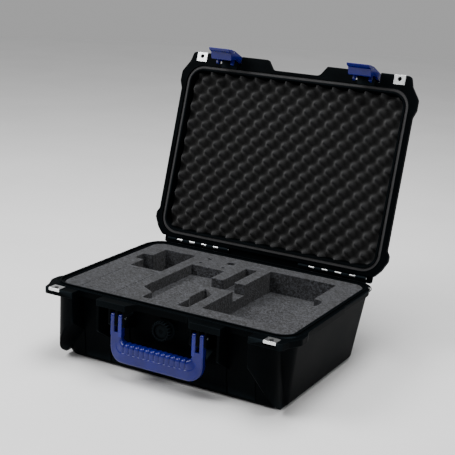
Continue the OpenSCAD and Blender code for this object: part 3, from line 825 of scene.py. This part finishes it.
def base_shell():
    shell = tub("case_base", 0, 0, RIM - RIM_STEP, FLOOR_EDGE, 0, RIM_SWELL)
    combine(shell, "DIFFERENCE", recess_panel())
    step = rounded_rect(HALF_W + RIM_STEP_IN, HALF_D + RIM_STEP_IN, CAVITY_R + RIM_STEP_IN)
    tongue = rounded([(0, RIM - 2, 0), (TONGUE_T, RIM - 2, 0), (TONGUE_T, RIM + TONGUE_H, 1.1),
                      (0, RIM + TONGUE_H, 1.1)], 3)
    boss = rod("boss", (0, VALVE.z), 21, HALF_D, VALVE_FACE, 1.0, FORWARD, 48)
    parts = [
        block("rim", base_rim_outline(), FLANGE_LOW, RIM - RIM_STEP, 1.2),
        block("step", step, FLANGE_LOW + 2, RIM, 0.6),
        band("tongue", HALF_W + TONGUE_IN, HALF_D + TONGUE_IN, CAVITY_R + TONGUE_IN, tongue),
        pillars(), arches(), boss, *rim_ridges(),
    ]
    combine(shell, "UNION", *parts, *front_ribs(), *base_knuckles(), *back_ribs())
    cuts = [base_cavity(), front_groove(BRACKET_OUT - 5), front_groove(PILLAR_X - 1)]
    cuts += plate_cutters(PLATE_LOW.z)
    for low, high, centre, r in (
            (HINGE_PIN_LOW.x, HINGE_PIN_HIGH.x + 0.5, HINGE.yz, HINGE_PIN_R),
            (HANDLE_PIN_LOW.x - 1, HANDLE_PIN_HIGH.x + 1, HANDLE_PIVOT.yz, HANDLE_PIN_R)):
        cuts.append(with_mirror(rod("cutter", centre, r, low, high)))
    cuts.append(rod("cutter", (0, VALVE.z), VALVE_BORE_R, -NUT_HIGH.y, VALVE_FACE + 2, 0, FORWARD))
    combine(shell, "DIFFERENCE", *cuts)
    dress(shell, "base", SHELL, ["base_shell"])


# ---- lid shell, drawn shut ----


def lid_outside():
    levels = [(0, 0, LIP + 2), (0, 0, LIP + LID_FLANGE_H), (LID_DRAFT, 0, LID_TOP - LID_CROWN)]
    for a in quarter(5)[1:]:
        bend = LID_CROWN * (1 - math.cos(a))
        levels.append((LID_DRAFT, bend, LID_TOP - LID_CROWN * (1 - math.sin(a))))
    rings = []
    for lean, bend, z in levels:
        half_x = HALF_W + LID_FOOT[0] - lean - bend
        half_y = HALF_D + LID_FOOT[1] - lean - bend
        rings.append([(x, y, z) for x, y in rounded_rect(half_x, half_y, LID_R - bend)])
    return loft("case_lid", rings)


def lid_cavity():
    flare, ceiling, foot = 1.2, LID_TOP - WALL, 6
    levels = [(-8 - foot * (1 - math.sin(a)), ceiling - foot * (1 - math.cos(a)))
              for a in quarter(4)]
    levels.append((0, LIP + flare))
    levels += [(flare * (1 - math.cos(a)), LIP + flare * (1 - math.sin(a))) for a in quarter(3)[1:]]
    levels.append((flare, LIP - 3))
    rings = [[(x, y, z) for x, y in rounded_rect(HALF_W + out, HALF_D + out, CAVITY_R + out)]
             for out, z in levels]
    return loft("cutter", rings)


def lid_knuckles():
    blocks = []
    profile = rounded([
        (HALF_D + 6, LIP + 2, 0), (HINGE.y - KNUCKLE_R, LIP + 2, 0),
        (HINGE.y, HINGE.z - KNUCKLE_R + 2, 0),
        (HINGE.y, HINGE.z + KNUCKLE_R, 2), (HALF_D + 4, LIP + LID_FLANGE_H + 8, 3)])
    for x0, x1 in LID_KNUCKLES:
        blocks.append(with_mirror(block("block", profile, x0, x1, 0.7, ALONG_X)))
        blocks.append(with_mirror(rod("knuckle", HINGE.yz, KNUCKLE_R, x0, x1, 0.7)))
    return blocks


def lid_skirt():
    """Lip at the lid's back that closes the gap below the open lid."""
    low = HINGE.z + KNUCKLE_R + SKIRT_CLEAR
    outline = rounded([(-SKIRT_HALF, HALF_D + 4, 0), (SKIRT_HALF, HALF_D + 4, 0),
                       (SKIRT_HALF, SKIRT_BACK, 6), (-SKIRT_HALF, SKIRT_BACK, 6)])
    return block("skirt", outline, low, low + SKIRT_T, 0.8)


def latch_lugs():
    """Lug in the middle of each latch, the wall behind it and the rim's tab below it."""
    x0, x1 = LATCH_X - LUG_HALF, LATCH_X + LUG_HALF
    y, z = LATCH_PIVOT
    profile = rounded([(y, z - LUG_R, 0), (y, z + LUG_R - 0.2, 0), (-HALF_D, z + LUG_R - 0.2, 0),
                       (-HALF_D, z - LUG_R - 4, 0)])
    return [
        with_mirror(block("web", profile, x0, x1, 0.6, ALONG_X)),
        with_mirror(rod("lug", LATCH_PIVOT, LUG_R, x0, x1, 0.6)),
        with_mirror(block("tab", rect(LATCH_X - 20, y, LATCH_X + 20, -HALF_D - 6, 1.5),
                          LIP, LIP + 7, 0.8)),
        with_mirror(block("screen", rect(y + LUG_BACK, LIP + 2, -HALF_D, z + LUG_R, 1.5),
                          BRACKET_OUT - 1, PILLAR_X + 1, 0.3, ALONG_X)),
    ]


def lid_ribs():
    """Broad low round-cornered ribs over the top of the lid."""
    ribs = []
    reach = HALF_D - 34
    for x in (75, 150):
        ribs.append(with_mirror(block("rib", rect(x - 14, -reach, x + 14, reach, 10, 6),
                                      LID_TOP - 1, LID_TOP + 2, 1.6)))
    return ribs


def lid_shell():
    shell = lid_outside()
    parts = [block("rim", lid_rim_outline(), LIP + LID_STEP, LIP + LID_FLANGE_H, 1.2)]
    outer = rounded_rect(HALF_W + 14, HALF_D + 12, CAVITY_R + 14)
    parts.append(block("step", outer, LIP, LIP + LID_FLANGE_H - 2, 0.7))
    combine(shell, "UNION", *parts, *lid_knuckles(), lid_skirt(), *latch_lugs(), *lid_ribs())
    groove = rounded([(0, LIP - 2, 0), (7.5, LIP - 2, 0), (7.5, GASKET_TOP, 0), (0, GASKET_TOP, 0)])
    cuts = [lid_cavity(),
            band("cutter", HALF_W + GROOVE_IN, HALF_D + GROOVE_IN, CAVITY_R + GROOVE_IN, groove)]
    cuts += plate_cutters(LIP)
    for low, high, centre, r in (
            (HINGE_PIN_LOW.x - 0.5, HINGE_PIN_HIGH.x + 1, HINGE.yz, HINGE_PIN_R),
            (LATCH_X - 20, LATCH_X + 20, LATCH_PIVOT, LATCH_PIN_R)):
        cuts.append(with_mirror(rod("cutter", centre, r + RUN_CLEAR, low, high)))
    combine(shell, "DIFFERENCE", *cuts)
    dress(shell, "lid", SHELL, ["lid_shell"], OPENED)


def gasket():
    low, high, r = GASKET_TOP - 3.1, GASKET_TOP, 1.5
    section = rounded([(0.3, low, r), (7.2, low, r), (7.2, high, 0.3), (0.3, high, 0.3)])
    seal = band("lid_seal", HALF_W + GROOVE_IN, HALF_D + GROOVE_IN, CAVITY_R + GROOVE_IN, section)
    dress(seal, "lid", RUBBER, ["lid_gasket"], OPENED)


# ---- foam ----


def wave_height(x, y):
    """Height of the egg-crate wave, 0 in a hollow and 1 on a tip."""
    wave = math.cos(2 * math.pi * x / WAVE_X) * math.cos(math.pi * y / WAVE_Y)
    return (0.5 + 0.5 * wave) ** 2


def lid_foam():
    """Egg-crate foam: staggered tips that reach the lid's lip."""
    columns, rows = 168, 120
    half_x, half_y = HALF_W + 2, HALF_D + 2
    back = LID_TOP - WALL - 1
    mesh = bmesh.new()
    grid = []
    for j in range(rows + 1):
        y = half_y * (2 * j / rows - 1)
        row = []
        for i in range(columns + 1):
            x = half_x * (2 * i / columns - 1)
            z = LIP + 0.6 + WAVE_DEPTH * (1 - wave_height(x, y))
            row.append(mesh.verts.new((x, y, z)))
        grid.append(row)
    for low, high in zip(grid, grid[1:]):
        for i in range(columns):
            mesh.faces.new((low[i], low[i + 1], high[i + 1], high[i]))
    loop = grid[0] + [row[-1] for row in grid[1:]] + grid[-1][-2::-1]
    loop += [row[0] for row in grid[-2:0:-1]]
    base = [mesh.verts.new((v.co.x, v.co.y, back)) for v in loop]
    for i, vert in enumerate(loop):
        j = (i + 1) % len(loop)
        mesh.faces.new((vert, loop[j], base[j], base[i]))
    mesh.faces.new(base)
    foam = to_object("wave_foam", mesh)
    levels = ((1.2, LIP - 2), (1.2, LIP + 0.6), (8.8, back + 0.5))
    room = loft("room", [[(x, y, z) for x, y in rounded_rect(HALF_W - d, HALF_D - d, CAVITY_R - 1)]
                         for d, z in levels])
    combine(foam, "INTERSECT", room)
    dress(foam, "lid", DARK_FOAM, ["lid_foam"], OPENED, 60)


def pocket_outlines():
    """(outline, depth) of every pocket cut into the foam's top."""
    large = rounded([
        (50, -138, 4), (197, -138, 4), (197, 1, 3), (218, 1, 14), (218, 37, 14),
        (197, 37, 3), (197, 143, 4), (50, 143, 4)], 6)
    deep = rounded([
        (-205, 2, 4), (-131, 2, 4), (-131, 140, 4), (-205, 140, 4), (-205, 87, 3),
        (-228, 87, 14), (-228, 51, 14), (-205, 51, 3)], 6)
    bay = rounded([
        (-105, 83, 3), (-105, -98, 3), (-73, -118, 4), (-73, -153, 3), (-55, -153, 3),
        (-55, -20, 3), (51, -20, 2), (51, 30, 2), (25, 30, 3), (25, 128, 3), (0, 128, 3),
        (0, 30, 3), (-28, 30, 3), (-28, 83, 3)])
    slot = rounded([(5, -152, 3), (27, -152, 3), (27, -62, 3), (0, -38, 3), (0, -98, 8), (5, -108, 8)])
    return [(large, 45), (deep, 75), (bay, 22), (slot, 22)]


def finger_holes():
    return [((-95, 140), 4), ((-42, 138), 8.5), ((-97, 105), 3.5), ((-42, 103), 3.5)]


def base_foam():
    foam = tub("cut_foam", WALL + FOAM_GAP, FOAM_LOW.z, FOAM_HIGH.z, 0, 1.8)
    top = FOAM_HIGH.z
    cuts = [pocket(outline, top - depth, top, 1.3) for outline, depth in pocket_outlines()]
    for (x, y), r in finger_holes():
        cuts.append(pocket(arc((x, y), r, 0, 345, 23), top - 12, top, 1.0, 0.3))
    hole = rect(PLUG_LOW.x - PLUG_GAP, PLUG_LOW.y - PLUG_GAP, PLUG_HIGH.x + PLUG_GAP,
                PLUG_HIGH.y + PLUG_GAP, 1.5)
    cuts.append(pocket(hole, PLUG_LOW.z - PLUG_GAP, top, 1.0))
    cuts.append(rod("cutter", (0, VALVE.z), 17, -HALF_D - 1, NUT_HIGH.y + 2, 0, ALONG_Y))
    for cut in cuts:
        combine(foam, "DIFFERENCE", cut)
    dress(foam, "base", GREY_FOAM, ["base_foam"])


def bottom_foam():
    foam = tub("bottom_foam", WALL + FOAM_GAP, BOTTOM_LOW.z, BOTTOM_HIGH.z, FLOOR_EDGE - 2, 1.5)
    dress(foam, "base", GREY_FOAM, ["base_foam_bottom"])


def plug():
    """Loose foam block that fills its own pocket."""
    outline = rect(PLUG_LOW.x, PLUG_LOW.y, PLUG_HIGH.x, PLUG_HIGH.y, 1.5)
    piece = block("loose_plug", outline, PLUG_LOW.z, PLUG_HIGH.z, 1.2)
    dress(piece, "base", GREY_FOAM, ["foam_plug"])


# ---- handle ----


def handle_section(inner, outer, front, back, deep, sink, ledge):
    """Ring of points round the handle between its inner and outer edge."""
    length = math.dist(inner, outer)
    corners = [(sink, back, 4), (sink, front + ledge + sink, 11),
               (0.46 * length, front + ledge + 0.5 * sink, 1.5), (0.5 * length, front, 1.5),
               (length, front, deep), (length, back, 4)]
    ring = []
    for s, y in rounded(corners, 5):
        t = s / length
        ring.append((inner[0] + t * (outer[0] - inner[0]), y, inner[1] + t * (outer[1] - inner[1])))
    return ring


def handle_arm(side):
    """Rings from the fork's foot down the arm and round the elbow."""
    out, low = HANDLE_HIGH.x, HANDLE_LOW.z
    fork = HANDLE_PIVOT.z - FORK_DROP
    rings = [handle_section((side * (out - ARM_W), z), (side * out, z), HANDLE_PIVOT.y - PRONG_R,
                            HANDLE_PIVOT.y + PRONG_R, 4, 0, 0.1) for z in (fork, fork - 4)]
    for k in range(13):
        a = math.pi / 2 * k / 12
        ease = math.sin(a) ** 2
        inner = (side * (out - ARM_W - ELBOW_IN * (1 - math.cos(a))),
                 low + GRIP_H + ELBOW_IN * (1 - math.sin(a)))
        outer = (side * (out - ELBOW_OUT * (1 - math.cos(a))), low + ELBOW_OUT * (1 - math.sin(a)))
        front = HANDLE_PIVOT.y - PRONG_R + ease * (HANDLE_LOW.y - HANDLE_PIVOT.y + PRONG_R)
        back = HANDLE_PIVOT.y + PRONG_R + ease * (HANDLE_HIGH.y - HANDLE_PIVOT.y - PRONG_R)
        rings.append(handle_section(inner, outer, front, back, 4 + 2 * ease, 0, 0.1 + LEDGE * ease))
    return rings


def handle_grip():
    """Rings along the grip, whose upper half is a row of round ribs."""
    top, low = HANDLE_LOW.z + GRIP_H, HANDLE_LOW.z
    start = -GRIP_RIBS * GRIP_PITCH / 2
    shares = (0.0, 0.08, 0.2, 0.35, 0.5, 0.65, 0.8, 0.92)
    rings = []
    for i in range(GRIP_RIBS * len(shares) + 1):
        rib, step = divmod(i, len(shares))
        share = shares[step]
        x = start + (rib + share) * GRIP_PITCH
        sink = GROOVE * (1 - math.sqrt(1 - (2 * share - 1) ** 2))
        rings.append(handle_section((x, top), (x, low), HANDLE_LOW.y, HANDLE_HIGH.y, 6, sink,
                                    0.1 + LEDGE))
    return rings


def handle():
    """Forked arms that run through an elbow into a ribbed grip."""
    out, pivot = HANDLE_HIGH.x, HANDLE_PIVOT
    rings = handle_arm(-1) + handle_grip() + handle_arm(1)[::-1]
    body = loft("carry_handle_blue", rings)
    front, back = pivot.y - PRONG_R, pivot.y + PRONG_R
    low, high = pivot.z - FORK_DROP - 8, pivot.z + PRONG_R
    outline = rounded([(front, low, 0), (back, low, 0), (back, high, PRONG_R),
                       (front, high, PRONG_R)], 8)
    prongs = [with_mirror(block("prong", outline, x, x + PRONG_W, 1.8, ALONG_X))
              for x in (out - ARM_W, out - PRONG_W)]
    combine(body, "UNION", *prongs)
    bore = with_mirror(rod("cutter", pivot.yz, HANDLE_PIN_R + RUN_CLEAR, out - ARM_W - 1, out + 1))
    combine(body, "DIFFERENCE", bore)
    dress(body, "carry_handle", BLUE, ["handle"])


def pin(name, body, node, centre, r, low, high, side, place=None):
    """Steel pin with rounded ends, along X on one side of the case."""
    dress(on_side(side, rod(name, centre, r, low, high, 0.5)), body, PIN_STEEL, [node], place)


# ---- latches, drawn fastened ----


def latch_lever(side, name):
    """Hollow lever with side walls, a leaning end plate and a thumb lip over it."""
    x0, x1 = LATCH_X - LATCH_HALF, LATCH_X + LATCH_HALF
    y, z = LATCH_PIVOT
    outline = rounded([(y + inward, z - along, r) for inward, along, r in LEVER_OUTLINE], 5)
    lever = block(name, outline, x0, x1, 1.2, ALONG_X)
    hollow = rounded([(y + inward, z - along, r) for inward, along, r in LEVER_HOLLOW], 5)
    inside = block("cutter", hollow, x0 + 4, x1 - 4, 1.0, ALONG_X)
    combine(lever, "DIFFERENCE", inside)
    bores = [rod("cutter", LATCH_PIVOT, LATCH_PIN_R, x0 - 1, x1 + 1),
             rod("cutter", (y, HOOK_PIN_Z), HOOK_PIN_R, x0 - 1, x1 + 1)]
    combine(lever, "DIFFERENCE", *bores)
    dress(on_side(side, lever), sided("latch", side), BLUE, [sided("latch_lever", side)],
          OPENED @ FLARED)


def latch_hook(side, name):
    """Plate inside the lever with two hooks that catch under the rim."""
    half = LATCH_HALF - 4.3
    y, z = LATCH_PIVOT
    back = y - LATCH_FRONT + 3.8
    x0, x1 = LATCH_X - half, LATCH_X + half
    plate = block(name, rect(back, HOOK_PIN_Z - 6, back + 3, HOOK_TOP, 1.2), x0, x1, 0.6, ALONG_X)
    prong = rounded([(back, HOOK_TOP - 8, 0), (-186.5, HOOK_TOP - 6, 2), (-186, HOOK_TOP, 1.2),
                     (back, HOOK_TOP, 0)])
    parts = [block("hook", prong, x, x + 6, 0.8, ALONG_X) for x in (x0, x1 - 6)]
    parts.append(rod("barrel", (y, HOOK_PIN_Z), 5, x0, x1, 0.6))
    parts.append(block("web", rect(back, HOOK_PIN_Z - 4, y, HOOK_PIN_Z + 4), x0, x1, 0.3, ALONG_X))
    combine(plate, "UNION", *parts)
    combine(plate, "DIFFERENCE", rod("cutter", (y, HOOK_PIN_Z), HOOK_PIN_R, x0 - 1, x1 + 1))
    dress(on_side(side, plate), sided("latch", side), BLUE, [sided("latch_hook", side)],
          OPENED @ FLARED)


def sided(stem, side):
    return stem + ("_left" if side < 0 else "_right")


# ---- valve ----


def knurled_ring(r, depth, height):
    """Ring of the valve knob with round scallops of a depth."""
    ring = []
    count = KNOB_SCALLOPS * 8
    for i in range(count):
        a = 2 * math.pi * i / count
        cut = depth * (0.5 + 0.5 * math.cos(KNOB_SCALLOPS * a)) ** 0.7
        ring.append(((r - cut) * math.cos(a), VALVE.z + (r - cut) * math.sin(a), height))
    return ring


def valve_knob():
    back, disc = -KNOB_HIGH.y, -KNOB_LOW.y
    profile = [
        (18.2, 0.6, back), (19.3, 1.6, back + 1), (19.5, 1.8, disc - 1.2), (19.0, 1.7, disc - 0.3),
        (18.2, 1.3, disc), (15.2, 0, disc), (14.4, 0, disc - 0.4), (13.9, 0, disc - 3.2),
        (12.6, 0, disc - 3.4), (12.2, 0, disc - 2.9), (4.4, 0, disc - 2.7), (4.0, 0, disc - 3.2),
        (2.0, 0, disc - 3.3)]
    knob = loft("valve_cap", [knurled_ring(r, cut, h) for r, cut, h in profile], FORWARD)
    hub = rod("cutter", (0, VALVE.z), 6.06, back - 2, disc - 4, 0, FORWARD)
    combine(knob, "DIFFERENCE", hub)
    dress(knob, "valve_cap", SHELL, ["valve_knob"])


def valve_parts():
    """Seal, flanged body and nut of the pressure valve."""
    back = VALVE_FACE + 1.2
    centre = (0, VALVE.z)
    profile = [(17, back), (17, back + 2.4), (16.4, back + 3), (6, back + 3), (6, back + 8.7),
               (5.7, back + 9)]
    stem = [(VALVE_STEM_R, -NUT_HIGH.y), (VALVE_STEM_R, back)]
    flange = turned("valve_flange", stem + profile, centre, FORWARD, 48)
    dress(flange, "base", SHELL, ["valve_body"])
    washer = [(16, VALVE_FACE + 0.05), (16.2, VALVE_FACE + 0.6), (16, back - 0.05)]
    seal = turned("valve_washer", washer, centre, FORWARD, 48)
    combine(seal, "DIFFERENCE", rod("cutter", centre, 10.3, VALVE_FACE - 2, back + 2, 0, FORWARD))
    dress(seal, "base", RUBBER, ["valve_seal"])
    nut_front = -NUT_LOW.y
    hexagon = arc(centre, 15, 0, 300, 5)
    nut = block("valve_nut_ring", hexagon, nut_front - 5, nut_front, 0.8, FORWARD)
    bore = rod("cutter", centre, VALVE_STEM_R + 0.02, nut_front - 7, nut_front + 2, 0, FORWARD)
    combine(nut, "DIFFERENCE", bore)
    dress(nut, "base", SHELL, ["valve_nut"])


# ---- padlock plates ----


def padlock_plate(name, body, node, side, low, place=None):
    """Steel strip folded over the rim, with a hole through both leaves."""
    y0, y1 = PLATE_LOW.y, PLATE_HIGH.y
    high = low + PLATE_HIGH.z - PLATE_LOW.z
    bend = 1.0
    fold = rounded([
        (y1, low, 0), (y0, low, bend), (y0, high, bend), (y1, high, 0), (y1, high - PLATE_T, 0),
        (y0 + PLATE_T, high - PLATE_T, 0.3), (y0 + PLATE_T, low + PLATE_T, 0.3), (y1, low + PLATE_T, 0)])
    plate = block(name, fold, PLATE_LOW.x, PLATE_HIGH.x, 0.25, ALONG_X)
    combine(plate, "DIFFERENCE",
            rod("cutter", PLATE_HOLE, PLATE_HOLE_R, low - 2, high + 2, place=ALONG_Z, count=48))
    dress(on_side(side, plate), body, STEEL, [node], place)


def all_pins():
    for side in (-1, 1):
        pin(sided("hinge_rod", side), "base", sided("hinge_pin", side), HINGE.yz, HINGE_PIN_R,
            HINGE_PIN_LOW.x, HINGE_PIN_HIGH.x, side)
        pin(sided("handle_rod", side), "base", sided("handle_pin", side), HANDLE_PIVOT.yz, HANDLE_PIN_R,
            HANDLE_PIN_LOW.x, HANDLE_PIN_HIGH.x, side)
        pin(sided("latch_rod", side), sided("latch", side), sided("latch_pin", side),
            LATCH_PIVOT, LATCH_PIN_R, LATCH_PIN_LOW.x, LATCH_PIN_HIGH.x, side, OPENED)
        pin(sided("hook_rod", side), sided("latch", side), sided("latch_hook_pin", side),
            (LATCH_PIVOT[0], HOOK_PIN_Z), HOOK_PIN_R, LATCH_PIN_LOW.x, LATCH_PIN_HIGH.x, side,
            OPENED @ FLARED)


# ---- studio ----


def area_light(name, spot, aim, size, power, colour=(1, 1, 1)):
    data = bpy.data.lights.new(name, "AREA")
    data.shape = "RECTANGLE"
    data.size, data.size_y = size
    data.energy = power
    data.color = colour
    lamp = bpy.data.objects.new(name, data)
    lamp.location = spot
    lamp.rotation_mode = "QUATERNION"
    lamp.rotation_quaternion = (Vector(aim) - Vector(spot)).to_track_quat("-Z", "Y")
    bpy.context.scene.collection.objects.link(lamp)


def studio():
    world = bpy.data.worlds.new("studio")
    world.use_nodes = True
    background = world.node_tree.nodes["Background"]
    background.inputs["Color"].default_value = (1, 1, 1, 1)
    background.inputs["Strength"].default_value = WORLD_LIGHT
    bpy.context.scene.world = world
    mesh = bmesh.new()
    bmesh.ops.create_circle(mesh, cap_ends=True, radius=6 / MM, segments=64)
    floor = to_object("studio_floor", mesh)
    floor.data.transform(Matrix.Diagonal((MM, MM, MM, 1)))
    floor.location.z = SHELL_LOW.z * MM - 0.0005
    floor.data.materials.append(floor_paint())
    centre = (0, 0, 0.2)
    area_light("key", (-1.6, -1.4, 2.2), centre, (1.4, 1.4), KEY_LIGHT)
    area_light("fill", (2.4, -1.2, 1.2), centre, (1.6, 1.6), FILL_LIGHT)
    area_light("top", (0.2, 0.1, 2.6), centre, (2.0, 1.2), TOP_LIGHT)


def camera():
    """Camera in front, to the right and a little above, slightly rolled."""
    data = bpy.data.cameras.new("view")
    data.sensor_width = 36
    data.lens = CAMERA_LENS
    lens = bpy.data.objects.new("view", data)
    turn = math.radians(CAMERA_AZIMUTH)
    rise = math.radians(CAMERA_ELEVATION)
    back = Vector((math.sin(turn) * math.cos(rise), -math.cos(turn) * math.cos(rise), math.sin(rise)))
    aim = Vector(CAMERA_AIM) * MM
    lens.rotation_mode = "QUATERNION"
    facing = (-back).to_track_quat("-Z", "Y")
    roll_turn = Matrix.Rotation(math.radians(CAMERA_ROLL), 3, back).to_quaternion()
    lens.rotation_quaternion = roll_turn @ facing
    lens.location = aim + back * CAMERA_DISTANCE * MM
    data.clip_end = 100
    bpy.context.scene.collection.objects.link(lens)
    bpy.context.scene.camera = lens


studio()
camera()
base_shell()
lid_shell()
gasket()
lid_foam()
base_foam()
bottom_foam()
plug()
handle()
for side in (-1, 1):
    latch_lever(side, sided("lever", side))
    latch_hook(side, sided("latch_hooks", side))
    padlock_plate(sided("base_plate", side), "base", sided("padlock_plate_base", side),
                  side, PLATE_LOW.z)
    padlock_plate(sided("lid_plate", side), "lid", sided("padlock_plate_lid", side),
                  side, LIP, OPENED)
all_pins()
valve_knob()
valve_parts()
